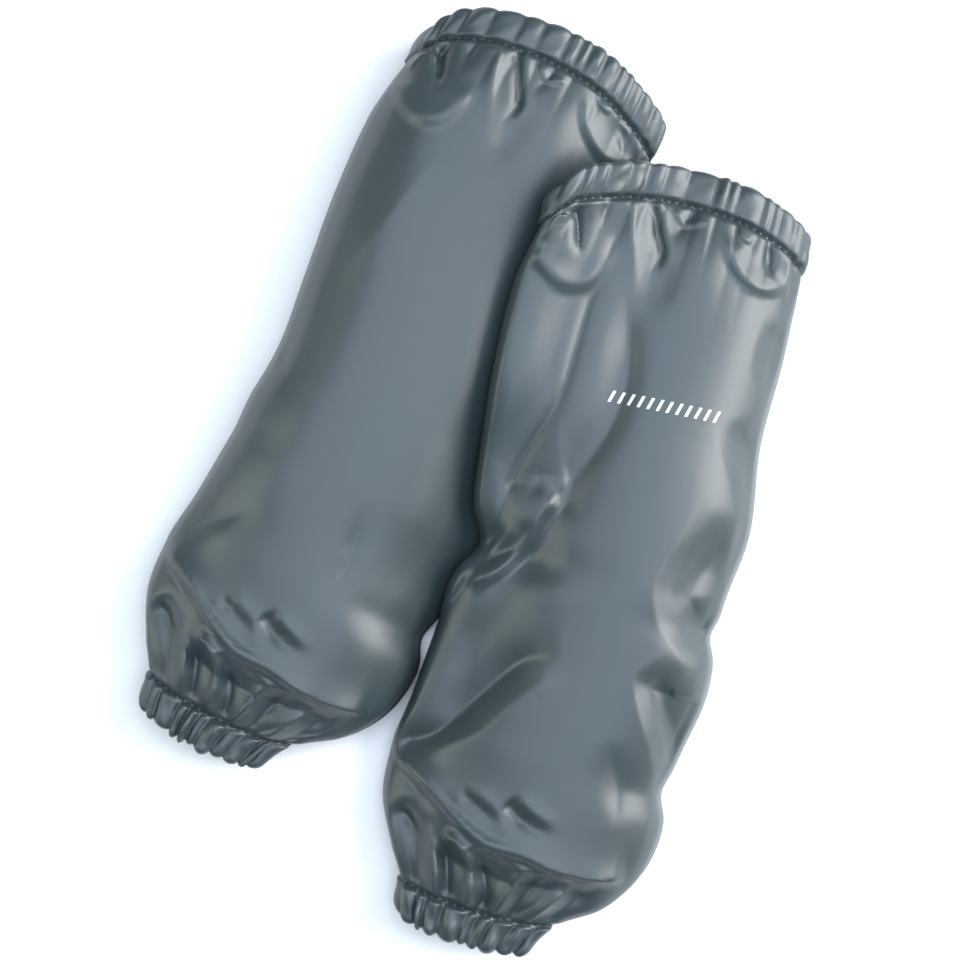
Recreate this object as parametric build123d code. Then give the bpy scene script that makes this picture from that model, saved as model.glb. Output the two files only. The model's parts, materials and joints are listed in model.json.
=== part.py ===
from build123d import *
import math
import os

# A pair of pull-on waterproof gaiters lying on a flat surface, one resting partly on the other.
# Millimetres, +Z up. Each gaiter is a tube of coated cloth with its length along +Y and an elastic
# hem at both ends: the wide mouth at +Y and the tight cuff at -Y.

# ---------------------------------------------------------------- driving dimensions
CLOTH = 0.7               # thickness of the coated cloth
GAP = 0.2                 # clearance between the layers of a hem
ELASTIC = 1.0             # thickness of the flat elastic
TAPE = 0.3                # thickness of the seam tape
TAPE_WIDTH = 20.0
TAPE_INSET = 26.0         # from the right-hand edge to the tape
TAPE_LIFT = 0.35          # the tape's clearance over the cloth
JOIN_AT = {"rear": 0.0, "front": 20.0}   # where an elastic is joined, across the wide mouth
THREAD = 0.7              # diameter of the sewing thread
THREAD_LIFT = 0.25        # the thread's clearance over the cloth
STITCH = 3.4              # length of one visible stitch
STITCH_PITCH = 5.2
FACING = 3.0              # the turned-in cloth passes the stitch row by this much
BAND_START = 2.5          # from the hem's sewing line to the elastic
BAND_END = 1.5            # from the elastic to the rim
LAP = 16.0                # length of the sewn lap that closes an elastic

TOP_RIM = 212.0           # stations along the tube, counted from its middle
TOP_SEW = 191.0
CUFF_RIM = -207.0
CUFF_SEW = -186.0
STEP = 14.0               # run from one section to the next
TOP_LEAN = 0.45           # run per rise of the wide mouth's plane: its upper side stands out further
CUFF_LEAN = -0.33

REAR_TURN = -10.7         # degrees about +Z, against the front gaiter
REAR_AT = (-134.5, 60.0)  # middle of the rear gaiter, seen from the middle of the front one
REST_GAP = 2.2            # air between the front gaiter and the rear one under it
RAMP = 30.0               # width over which the front gaiter comes down to the surface

PRINT_AT = (18.6, 105.0)  # the printed mark, on the front gaiter's upper side
PRINT_TURN = 4.8
PRINT_BARS = 12
PRINT_PITCH = 5.4
PRINT_HEIGHT = 6.6
PRINT_WIDTH = 1.7
PRINT_SLANT = 2.2
INK = 0.2

# station, left edge, right edge, height of the crown, roundness of the section
STATIONS = [
    (CUFF_RIM, -40.0, 37.0, 28.0, 1.0),
    (CUFF_SEW, -47.0, 47.0, 30.0, 0.9),
    (-170.0, -60.0, 68.0, 38.0, 0.6),
    (-148.0, -72.0, 83.0, 46.0, 0.3),
    (-120.0, -78.0, 87.0, 50.0, 0.1),
    (-90.0, -75.0, 84.0, 52.0, 0.0),
    (-45.0, -72.0, 90.0, 54.0, 0.0),
    (5.0, -68.0, 85.0, 56.0, 0.0),
    (50.0, -73.0, 88.0, 56.0, 0.0),
    (100.0, -79.0, 80.0, 55.0, 0.0),
    (145.0, -81.0, 79.0, 52.0, 0.05),
    (175.0, -78.0, 77.0, 48.0, 0.25),
    (TOP_SEW, -75.0, 75.0, 45.0, 0.5),
    (TOP_RIM, -73.0, 74.0, 43.0, 0.6),
]

# place across the tube (-1 left edge, +1 right edge) and share of the crown's height
UPPER = {
    "rear": [(-1.0, .13), (-.94, .36), (-.8, .64), (-.55, .90), (-.25, 1.0), (.1, .92), (.4, .66),
             (.65, .42), (.85, .26), (.95, .18), (1.0, .11)],
    "front": [(-1.0, .11), (-.95, .22), (-.8, .42), (-.55, .68), (-.25, .91), (.1, 1.0), (.4, .97),
              (.65, .84), (.85, .58), (.95, .34), (1.0, .12)],
}
FLAT = 0.72               # the lower side lies flat over this share of the width
LEAD = 3.0                # the smooth stretch runs level for this far before the flat one starts
ROUND_CLEAR = 0.28        # a round edge rests on the gaiter below it no further out than this
EDGE = 0.05               # height of the lower side at the tube's edges, as a share of the crown


# ---------------------------------------------------------------- the shape of one tube
def between(rows, key):
    """Values of a sorted table at key, on smooth curves through its rows."""
    key = min(max(key, rows[0][0]), rows[-1][0])
    index = max(i for i in range(len(rows) - 1) if rows[i][0] <= key)
    low, high = rows[index], rows[index + 1]
    before, after = rows[max(index - 1, 0)], rows[min(index + 2, len(rows) - 1)]
    span = high[0] - low[0]
    t = (key - low[0]) / span
    values = []
    for k in range(1, len(low)):
        start = (high[k] - before[k]) / (high[0] - before[0]) * span
        end = (after[k] - low[k]) / (after[0] - low[0]) * span
        values.append((2 * t ** 3 - 3 * t ** 2 + 1) * low[k] + (t ** 3 - 2 * t ** 2 + t) * start
                      + (3 * t ** 2 - 2 * t ** 3) * high[k] + (t ** 3 - t ** 2) * end)
    return values


def lean(station):
    """Run per rise of the section's plane: upright in the middle, leaning out at both mouths."""
    if station > 0:
        return TOP_LEAN * min(max((station - 90) / (TOP_SEW - 90), 0), 1)
    return CUFF_LEAN * min(max((-110 - station) / (-110 - CUFF_SEW), 0), 1)


def upper_height(side, station, u):
    """Height of the upper side over what the tube lies on, across a section."""
    crown, roundness = between(STATIONS, station)[2:]
    share = between(UPPER[side], u)[0]
    arch = 0.5 + 0.5 * math.sqrt(max(1 - u * u, 0))
    return crown * ((1 - roundness) * share + roundness * arch)


def flat_width(station):
    """Share of the half width over which the lower side lies flat."""
    return FLAT * (1 - 0.7 * between(STATIONS, station)[3])


def lower_height(station, u):
    """Height of the lower side over what the tube lies on."""
    crown, roundness = between(STATIONS, station)[2:]
    flat = flat_width(station)
    rise = max(abs(u) - flat, 0) / (1 - flat)
    arch = 0.5 * (1 - math.sqrt(max(1 - rise * rise, 0)))
    return crown * ((1 - roundness) * EDGE * rise ** 2 + roundness * arch)


def support(x, y):
    """Height of what the front gaiter lies on: the rear gaiter's right side, then the surface."""
    turn = math.radians(REAR_TURN)
    dx, dy = x - REAR_AT[0], y - REAR_AT[1]
    across = dx * math.cos(turn) + dy * math.sin(turn)
    along = -dx * math.sin(turn) + dy * math.cos(turn)
    left, right = between(STATIONS, along)[:2]
    half = (right - left) / 2
    u = (across - (left + right) / 2) / half
    fade = min(max(1 - (u - 1) * half / RAMP, 0), 1)
    height = upper_height("rear", along, min(max(u, -1), 1)) + REST_GAP
    return height * fade ** 2 * (3 - 2 * fade)


def section(side, station, offset):
    """Points of the tube's wall at one station, moved outwards, from the flat stretch's right end
    over the crown to its left end."""
    left, right, _, roundness = between(STATIONS, station)
    middle, half = (left + right) / 2, (right - left) / 2

    def raised(u):
        level = max(u, -1 + ROUND_CLEAR * roundness)
        return support(middle + half * level, station) if side == "front" else 0.0

    flat = flat_width(station)
    flat_left = flat
    while raised(-flat_left) > 0.01:
        flat_left -= 0.02
    lead = LEAD / half
    ring = [(flat, 0.0), (flat + lead, 0.0)]
    ring += [(u, lower_height(station, u)) for u in (flat + (1 - flat) * .45, flat + (1 - flat) * .8)]
    ring += [(u, upper_height(side, station, u)) for u, _ in reversed(UPPER[side])]
    for share in (.86, .7, .55, .42, .3, .2, .1):
        u = -(flat_left + lead + (1 - flat_left - lead) * share)
        ring.append((u, lower_height(station, u)))
    ring = [(u, height + raised(u)) for u, height in ring] + [(-flat_left - lead, 0.0), (-flat_left, 0.0)]
    line = [Vector(middle + half * u, height) for u, height in ring]
    points = []
    for index, point in enumerate(line):
        if index in (0, len(line) - 1):
            outward = Vector(0, -1)
        else:
            ahead = line[index + 1] - line[index - 1]
            outward = Vector(ahead.Y, -ahead.X).normalized()
        moved = point + outward * offset
        points.append(Vector(moved.X, station + lean(station) * moved.Y, moved.Y))
    return points


def outline(side, station, offset):
    """The closed line round the tube: a smooth stretch over the top and a straight one below."""
    points = section(side, station, offset)
    over = Spline(*points)
    return over, Line(points[-1], points[0])


def stops_along():
    """Every station where a long wall is divided: the ends of the hems' layers, then even ones."""
    stops = []
    for rim, sew in ((TOP_RIM, TOP_SEW), (CUFF_RIM, CUFF_SEW)):
        away = math.copysign(1, rim - sew)
        stops += [sew - away * FACING, sew + away * BAND_START, rim - away * BAND_END]
    even = [i * STEP for i in range(math.ceil(CUFF_RIM / STEP), math.floor(TOP_RIM / STEP) + 1)]
    return sorted(stops + [e for e in even if min(abs(e - s) for s in stops) > 3])


def stations_between(start, end):
    """Stations from start to end, with every shared one between them."""
    low, high = sorted((start, end))
    stops = [low] + [s for s in stops_along() if low + 0.1 < s < high - 0.1] + [high]
    return stops if start < end else stops[::-1]


def ring(side, profile):
    """Closed solid that runs round the tube. Its profile is a loop of (station, offset) corners: a
    side along the tube becomes a wall, a side across the wall becomes a level end."""
    faces = []
    for (s0, o0), (s1, o1) in zip(profile, profile[1:] + profile[:1]):
        if s0 == s1:
            wires = [Wire(list(outline(side, s0, o))) for o in sorted((o0, o1), reverse=True)]
            faces.append(Face(wires[0], [wires[1]]))
            continue
        stops = [outline(side, s, o0) for s in stations_between(s0, s1)]
        for near, far in zip(stops, stops[1:]):
            faces.append(Face.make_surface_from_curves(near[0], far[0]))
            corners = [near[1] @ 0, near[1] @ 1, far[1] @ 1, far[1] @ 0]
            faces.append(Face(Wire.make_polygon(corners)))
    return Solid(Shell(faces))


# ---------------------------------------------------------------- the pieces of one gaiter
def shell(side):
    """The cloth tube, open at both mouths."""
    return ring(side, [(CUFF_RIM, 0), (TOP_RIM, 0), (TOP_RIM, -CLOTH), (CUFF_RIM, -CLOTH)])


def casing(side, rim, sew):
    """The turned-in cloth of a hem: a facing inside the elastic and a lip over the shell's edge."""
    away = math.copysign(1, rim - sew)
    outer = -(CLOTH + 2 * ELASTIC + 3 * GAP)
    start, under, over = sew - away * FACING, rim + away * GAP, rim + away * (GAP + CLOTH)
    return ring(side, [(start, outer), (under, outer), (under, 0), (over, 0),
                       (over, outer - CLOTH), (start, outer - CLOTH)])


def elastic(side, rim, sew):
    """The flat elastic ring that lies in a hem."""
    away = math.copysign(1, rim - sew)
    start, end = sew + away * BAND_START, rim - away * BAND_END
    outer = -(CLOTH + GAP)
    return ring(side, [(start, outer), (end, outer), (end, outer - ELASTIC), (start, outer - ELASTIC)])


def elastic_join(x, rim, sew):
    """The sewn lap that closes an elastic, a second layer in the middle of the lower side."""
    height = CLOTH + ELASTIC + 2 * GAP
    lap = Box(LAP, abs(rim - sew) - 6, ELASTIC, align=(Align.CENTER, Align.CENTER, Align.MIN))
    return Pos(x, (sew + rim) / 2, height) * lap


def stitching(side, rim, sew):
    """One lockstitch row round the tube, as separate stitches lying on the cloth."""
    station = sew + math.copysign(BAND_START, rim - sew)
    over = outline(side, station, THREAD_LIFT + THREAD / 2)[0]
    count = round(over.length / STITCH_PITCH)
    stitches = []
    for index in range(count):
        place = (index + 0.5) / count
        start, along = over.position_at(place), over.tangent_at(place)
        if start.Z > THREAD and abs(along.Z) < 0.995:
            stitch = Cylinder(THREAD / 2, STITCH, align=(Align.CENTER, Align.CENTER, Align.MIN))
            stitches.append(Plane(start - along * STITCH / 2, z_dir=along) * stitch)
    return Compound(stitches)


def seam_tape(side):
    """Sealing strip over the side seam, inside the lower side near the right-hand edge."""
    low, high = CLOTH + TAPE_LIFT, CLOTH + TAPE_LIFT + TAPE
    wires = []
    for station in stations_between(-115, 150):
        right = between(STATIONS, station)[1] - TAPE_INSET
        corners = [(right - TAPE_WIDTH, low), (right, low), (right, high), (right - TAPE_WIDTH, high)]
        wires.append(Wire.make_polygon([Vector(x, station, z) for x, z in corners]))
    return Solid.make_loft(wires, ruled=True)


def printed_mark():
    """Row of slanted bars printed on the front gaiter's upper side."""
    skin = ring("front", [(85, 0.05 + INK), (125, 0.05 + INK), (125, 0.05), (85, 0.05)])
    bars = []
    for index in range(PRINT_BARS):
        x = (index - (PRINT_BARS - 1) / 2) * PRINT_PITCH - PRINT_WIDTH / 2
        low, high = -PRINT_HEIGHT / 2, PRINT_HEIGHT / 2
        sketch = Polyline((x - PRINT_SLANT / 2, low), (x + PRINT_WIDTH - PRINT_SLANT / 2, low),
                          (x + PRINT_WIDTH + PRINT_SLANT / 2, high), (x + PRINT_SLANT / 2, high),
                          close=True)
        bar = extrude(make_face(sketch), 60)
        bars.append(Pos(PRINT_AT[0], PRINT_AT[1], 25) * Rot(0, 0, PRINT_TURN) * bar)
    return Compound([solid for bar in bars for solid in (skin & bar).solids()])


def gaiter(side):
    """All the pieces of one gaiter, by name."""
    return {
        "shell": shell(side),
        "seam_tape": seam_tape(side),
        "top_casing": casing(side, TOP_RIM, TOP_SEW),
        "top_elastic": elastic(side, TOP_RIM, TOP_SEW),
        "top_elastic_join": elastic_join(JOIN_AT[side], TOP_RIM, TOP_SEW),
        "top_stitching": stitching(side, TOP_RIM, TOP_SEW),
        "cuff_casing": casing(side, CUFF_RIM, CUFF_SEW),
        "cuff_elastic": elastic(side, CUFF_RIM, CUFF_SEW),
        "cuff_elastic_join": elastic_join(0.0, CUFF_RIM, CUFF_SEW),
        "cuff_stitching": stitching(side, CUFF_RIM, CUFF_SEW),
    }


def main():
    pieces = {}
    for side in ("rear", "front"):
        place = Pos(*REAR_AT, 0) * Rot(0, 0, REAR_TURN) if side == "rear" else Pos(0, 0, 0)
        for name, shape in gaiter(side).items():
            pieces[side + "_" + name] = place * shape
    pieces["front_print"] = printed_mark()

    box = Compound(list(pieces.values())).bounding_box()
    centre = Pos(-(box.min.X + box.max.X) / 2, -(box.min.Y + box.max.Y) / 2, -box.min.Z)
    print("row shift", centre.position, "size", box.size)
    os.makedirs("parts", exist_ok=True)
    for name, shape in pieces.items():
        export_step(centre * shape, "parts/" + name + ".step")


main()
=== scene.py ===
import json
import math

import bpy
import numpy as np
from bpy.props import FloatProperty, FloatVectorProperty, IntProperty, PointerProperty
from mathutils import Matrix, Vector
from mathutils.bvhtree import BVHTree


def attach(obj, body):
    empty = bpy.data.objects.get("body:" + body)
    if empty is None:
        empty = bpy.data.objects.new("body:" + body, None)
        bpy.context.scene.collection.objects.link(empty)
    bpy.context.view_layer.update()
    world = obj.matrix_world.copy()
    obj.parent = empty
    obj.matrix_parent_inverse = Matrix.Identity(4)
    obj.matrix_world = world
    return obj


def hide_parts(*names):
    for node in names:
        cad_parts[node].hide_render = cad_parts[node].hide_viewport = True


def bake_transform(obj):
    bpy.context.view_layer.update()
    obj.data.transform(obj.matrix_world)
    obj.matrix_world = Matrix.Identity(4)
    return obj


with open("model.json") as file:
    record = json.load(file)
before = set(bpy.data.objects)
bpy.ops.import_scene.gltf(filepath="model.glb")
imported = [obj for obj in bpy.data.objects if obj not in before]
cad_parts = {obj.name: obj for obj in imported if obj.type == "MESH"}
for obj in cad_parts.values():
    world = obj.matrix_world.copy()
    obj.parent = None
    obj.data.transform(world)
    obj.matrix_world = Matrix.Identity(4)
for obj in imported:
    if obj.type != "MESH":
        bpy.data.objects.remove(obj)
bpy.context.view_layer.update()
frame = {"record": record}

bl_info = {
    "name": "Waterproof gaiters",
    "version": (1, 0, 0),
    "blender": (4, 5, 0),
    "location": "View3D > Sidebar > Gaiters",
    "description": "Builds a pair of pull-on coated-cloth gaiters with elastic hems around their CAD frame",
    "category": "Object",
}

MM = 0.001
SIDES = ("rear", "front")
RECORD = frame["record"]
JOINTS = {joint["name"]: joint for joint in RECORD["behaviour"]["joints"]}

# ---------------------------------------------------------------- sizes, in mm
# A station is a place along a gaiter: 0 in its middle, up towards the wide mouth.
TOP_RIM, TOP_SEW = 212.0, 191.0
CUFF_RIM, CUFF_SEW = -207.0, -186.0
TOP_LEAN, CUFF_LEAN = 0.45, -0.33     # run per rise of the planes of both mouths
BEND_AT = -145.0                      # station of the crease that the cuff bends about
REAR_TURN = math.radians(-10.7)
REST_GAP, RAMP = 2.2, 30.0            # between the gaiters, and how far the front spans beside the rear
LAP_AT = {"rear": 0.0, "front": 20.0}  # where the wide elastic's lap lies across the tube
TAPE_WIDTH, TAPE_INSET = 20.0, 26.0
PRINT_AT, PRINT_TURN = (18.6, 105.0), 4.8
PRINT_BARS, PRINT_PITCH, PRINT_HEIGHT, PRINT_WIDTH, PRINT_SLANT = 12, 5.4, 6.6, 1.7, 2.2
PRINT_DEEP, PRINT_LIFT = 0.1, 0.12    # the ink's thickness, and how far it stands off the cloth
FLAT, EDGE = 0.72, 0.05               # share of the width that lies flat, and the edge's rise
CRISP = 1.2                           # 2 gives round folds, 1 gives knife edges
EDGE_RISE, EDGE_TURN = 0.085, 0.06    # height of the edge over the crown, share that turns under
LEAST_GAP = (0.22, 1.5)               # share of the height, and mm, that folds keep off the lower side
OFF_FLOOR = 0.1                       # the cloth's outer side over the floor
UNDERNEATH = 0.75                     # share of the way round at the middle of the lower side
ROLL = 2.0                            # radius of the cloth's turn at a rim
FACING_AT = -3.6                      # offset of the turned-in cloth inside a hem
ELASTIC_AT = -1.0                     # offset of the outer side of the elastic
TAPE_AT, TAPE_DEEP = -0.95, 0.3       # offset and thickness of the seam tape
TAPE_ENDS = (-115.0, 150.0)           # stations between which the tape runs
LAP_AT_DEPTH, LAP_DEEP = -2.1, 0.9    # offset and thickness of the elastic's sewn lap
LAP_LENGTH, LAP_WIDTH = 16.0, 15.0
BLEND = (27.0, -33.0)                 # from the crease, where the cuff starts and ends to bend

# station, left edge, right edge, height of the crown, roundness of the section
STATIONS = np.array([
    (CUFF_RIM, -40.0, 37.0, 28.0, 1.0),
    (CUFF_SEW, -47.0, 47.0, 30.0, 0.9),
    (-170.0, -60.0, 68.0, 38.0, 0.6),
    (-148.0, -72.0, 83.0, 46.0, 0.3),
    (-120.0, -78.0, 87.0, 50.0, 0.1),
    (-90.0, -75.0, 84.0, 52.0, 0.0),
    (-45.0, -72.0, 90.0, 54.0, 0.0),
    (5.0, -68.0, 85.0, 56.0, 0.0),
    (50.0, -73.0, 88.0, 56.0, 0.0),
    (100.0, -79.0, 80.0, 55.0, 0.0),
    (145.0, -81.0, 79.0, 52.0, 0.05),
    (175.0, -78.0, 77.0, 48.0, 0.25),
    (TOP_SEW, -75.0, 75.0, 45.0, 0.5),
    (TOP_RIM, -73.0, 74.0, 43.0, 0.6),
])

# how far an edge is drawn in by a fold: station, half length, depth
LEFT_NOTCHES = {"rear": [], "front": [(4.0, 13.0, 9.0)]}
RIGHT_NOTCHES = {"rear": [(-106.0, 11.0, 5.0)], "front": [(-106.0, 11.0, 5.0), (-12.0, 9.0, 4.0)]}
FLANK_IN = 3.0                        # how far the left edge is drawn in along the ankle half
CUFF_ASIDE = 5.0                      # how far the cuff is pulled to the left

STANDS_UP = 0.7                       # how far the rear's ankle half takes the front's section

# place across the tube (-1 left edge, +1 right edge) and share of the crown's height
UPPER = {
    "rear": np.array([(-1.0, .13), (-.94, .36), (-.8, .64), (-.55, .90), (-.25, .96), (.1, .92),
                      (.4, .80), (.65, .54), (.85, .29), (.95, .18), (1.0, .11)]),
    "front": np.array([(-1.0, .11), (-.95, .22), (-.8, .42), (-.55, .68), (-.25, .91), (.1, 1.0),
                       (.4, .97), (.65, .84), (.85, .58), (.95, .34), (1.0, .12)]),
}


# ---------------------------------------------------------------- small helpers
def smooth(value):
    """0 to 1 with soft ends."""
    t = np.clip(value, 0.0, 1.0)
    return t * t * (3 - 2 * t)


def through(rows, key):
    """Columns of a sorted table at key, on smooth curves through its rows."""
    key = np.clip(np.asarray(key, float), rows[0, 0], rows[-1, 0])
    low = np.clip(np.searchsorted(rows[:, 0], key, side="right") - 1, 0, len(rows) - 2)
    high, before, after = low + 1, np.maximum(low - 1, 0), np.minimum(low + 2, len(rows) - 1)
    at = rows[:, 0]
    span = at[high] - at[low]
    t = (key - at[low]) / span
    columns = []
    for k in range(1, rows.shape[1]):
        v = rows[:, k]
        start = (v[high] - v[before]) / (at[high] - at[before]) * span
        end = (v[after] - v[low]) / (at[after] - at[low]) * span
        columns.append((2 * t ** 3 - 3 * t ** 2 + 1) * v[low] + (t ** 3 - 2 * t ** 2 + t) * start
                       + (3 * t ** 2 - 2 * t ** 3) * v[high] + (t ** 3 - t ** 2) * end)
    return columns


def lean(station):
    """Run per rise of the section's plane: upright in the middle, leaning out at both mouths."""
    top = TOP_LEAN * np.clip((station - 90) / (TOP_SEW - 90), 0, 1)
    cuff = CUFF_LEAN * np.clip((-110 - station) / (-110 - CUFF_SEW), 0, 1)
    return np.where(station > 0, top, cuff)


def origin_of(side):
    """Middle of a gaiter in the frame, worked out from the joint its cuff bends about."""
    bend = Vector(JOINTS[side + "_cuff_bend"]["pos_m"])
    turn = REAR_TURN if side == "rear" else 0.0
    along = Vector((-math.sin(turn), math.cos(turn), 0))
    return bend - along * (BEND_AT * MM), turn


def to_frame(side, points):
    """Points in a gaiter's own millimetres, as metres in the shared frame."""
    origin, turn = origin_of(side)
    x, y = points[..., 0] * MM, points[..., 1] * MM
    placed = np.empty_like(points)
    placed[..., 0] = origin.x + x * math.cos(turn) - y * math.sin(turn)
    placed[..., 1] = origin.y + x * math.sin(turn) + y * math.cos(turn)
    placed[..., 2] = origin.z + points[..., 2] * MM
    return placed


# ---------------------------------------------------------------- the tube's resting shape
def upper_height(side, station, u):
    """Height of the upper side over what the tube lies on."""
    crown, roundness = through(STATIONS, station)[2:]
    share = through(UPPER[side], u)[0]
    if side == "rear":                # past the front gaiter's weight the cloth stands up again
        free = STANDS_UP * smooth((-50 - station) / 80)
        share = share + free * (through(UPPER["front"], u)[0] - share)
    arch = 0.5 + 0.5 * np.sqrt(np.maximum(1 - u * u, 0))
    return crown * ((1 - roundness) * share + roundness * arch)


def flatter(side, u, height, crown):
    """The cloth lies flatter over the middle than its plain section."""
    power = 0.72 if side == "front" else 0.72 + 0.28 * smooth((u + 0.35) / 0.4)
    return crown * np.clip(height / crown, 0, 1) ** power


def lower_height(station, u):
    """Height of the lower side over what the tube lies on."""
    crown, roundness = through(STATIONS, station)[2:]
    flat = FLAT * (1 - 0.7 * roundness)
    rise = np.clip((np.abs(u) - flat) / (1 - flat), 0, 1)
    arch = 0.5 * (1 - np.sqrt(np.maximum(1 - rise * rise, 0)))
    return crown * ((1 - roundness) * EDGE * rise ** 2 + roundness * arch)


def support(x, y):
    """Height of what the front gaiter lies on: the rear gaiter's right side, then the surface."""
    front, rear = origin_of("front")[0], origin_of("rear")[0]
    dx, dy = x - (rear.x - front.x) / MM, y - (rear.y - front.y) / MM
    across = dx * math.cos(REAR_TURN) + dy * math.sin(REAR_TURN)
    along = -dx * math.sin(REAR_TURN) + dy * math.cos(REAR_TURN)
    left, right = through(STATIONS, along)[:2]
    half = (right - left) / 2
    u = (across - (left + right) / 2) / half
    fade = np.clip(1 - (u - 1) * half / RAMP, 0, 1)
    height = upper_height("rear", along, np.clip(u, -1, 1)) + REST_GAP
    return height * fade ** 2 * (3 - 2 * fade)


# ---------------------------------------------------------------- folds drawn on the cloth
def rounded(points, steps=8):
    """Smooth line through given points."""
    p = np.array(points, float)
    keyed = np.column_stack([np.arange(len(p)), p])
    key = np.linspace(0, len(p) - 1, (len(p) - 1) * steps + 1)
    return np.column_stack(through(keyed, key))


def off_line(x, y, line):
    """Signed distance from a line, positive on its left hand (the right of a line drawn from the
    wide mouth towards the cuff, above one drawn from left to right), and the share of its length."""
    best = np.full(x.shape, 1e9)
    signed = np.zeros(x.shape)
    share = np.zeros(x.shape)
    legs = len(line) - 1
    for i in range(legs):
        a, d = line[i], line[i + 1] - line[i]
        length = np.hypot(*d)
        t = np.clip(((x - a[0]) * d[0] + (y - a[1]) * d[1]) / length ** 2, 0, 1)
        ex, ey = x - a[0] - t * d[0], y - a[1] - t * d[1]
        far = np.hypot(ex, ey)
        nearer = far < best
        turn = np.where(d[0] * ey - d[1] * ex >= 0, 1.0, -1.0)
        best = np.where(nearer, far, best)
        signed = np.where(nearer, far * turn, signed)
        share = np.where(nearer, (i + t) / legs, share)
    return signed, share


def ends_off(share, ends):
    """Fades a fold in and out over the given shares of its length."""
    fade = np.ones(share.shape)
    if ends[0]:
        fade = fade * smooth(share / ends[0])
    if ends[1]:
        fade = fade * smooth((1 - share) / ends[1])
    return fade


def ridge(x, y, points, height, right, left, ends):
    """A crest (or, with a negative height, a crease) along a line: right and left are its half
    widths on the two hands of the line."""
    signed, share = off_line(x, y, rounded(points))
    body = np.exp(-np.abs(signed / np.where(signed > 0, left, right)) ** CRISP)
    return height * body * ends_off(share, ends)


def step(x, y, points, rise, reach, sharp, ends):
    """A panel that stands over its neighbour: the left hand of the line is raised by rise over
    the width sharp, and eases back over reach."""
    signed, share = off_line(x, y, rounded(points))
    body = smooth(signed / sharp + 0.5) * np.exp(-np.maximum(signed, 0) / reach)
    return rise * body * ends_off(share, ends)


def facet(x, y, points, fall, width, reach, ends):
    """A crisp crest along a line, from which the panel on its left hand falls away over a width
    and then eases back over reach."""
    signed, share = off_line(x, y, rounded(points))
    slope = np.clip(signed / width, 0, 1)
    eased = slope - 0.12 * np.sin(2 * np.pi * slope) * (slope > 0.5)
    return -fall * eased * np.exp(-np.maximum(signed - width, 0) / reach) * ends_off(share, ends)


def swell(x, y, centre, radii, angle, height):
    """A soft oval bulge (or, with a negative height, a hollow)."""
    c, s = math.cos(math.radians(angle)), math.sin(math.radians(angle))
    dx, dy = x - centre[0], y - centre[1]
    a, b = (dx * c + dy * s) / radii[0], (-dx * s + dy * c) / radii[1]
    return height * np.exp(-(a * a + b * b))


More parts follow.
